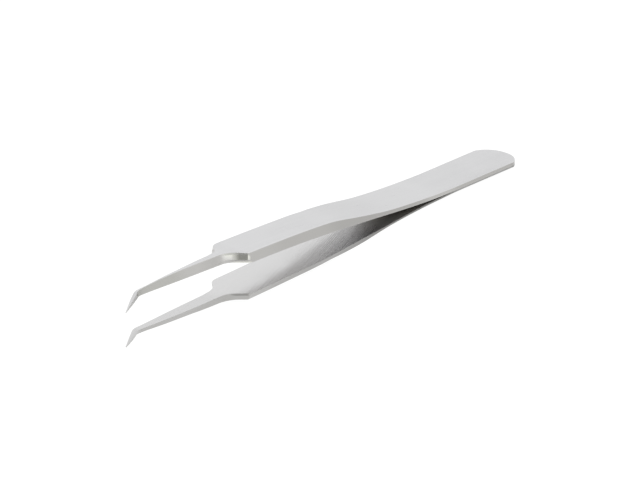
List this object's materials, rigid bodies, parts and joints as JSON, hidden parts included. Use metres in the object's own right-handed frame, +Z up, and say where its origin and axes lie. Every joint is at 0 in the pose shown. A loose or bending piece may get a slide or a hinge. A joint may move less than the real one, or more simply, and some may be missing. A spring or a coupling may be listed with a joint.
{
  "type": "angled tweezers",
  "caption": "Slim satin-steel precision tweezers: flat welded heel, arms that bow apart and thicken into bevelled grips, stepped shoulders, narrow necks and fine points bent to one side.",
  "frame": {"origin": "centre of the bounding box's bottom face, on the surface the tweezers lie on", "axes": "+X from the points towards the welded heel, -Y the side the points bend to, +Z up; the part lies on its lower arm, so the plane between the arms rises 3.4 degrees towards the points"},
  "size_m": [0.115, 0.0104, 0.0114],
  "materials": {
    "satin_steel": "satin, finely ground, with polished notch walls"
  },
  "bodies": {
    "root": {"upper_arm": "satin_steel", "lower_arm": "satin_steel"}
  },
  "joints": []
}
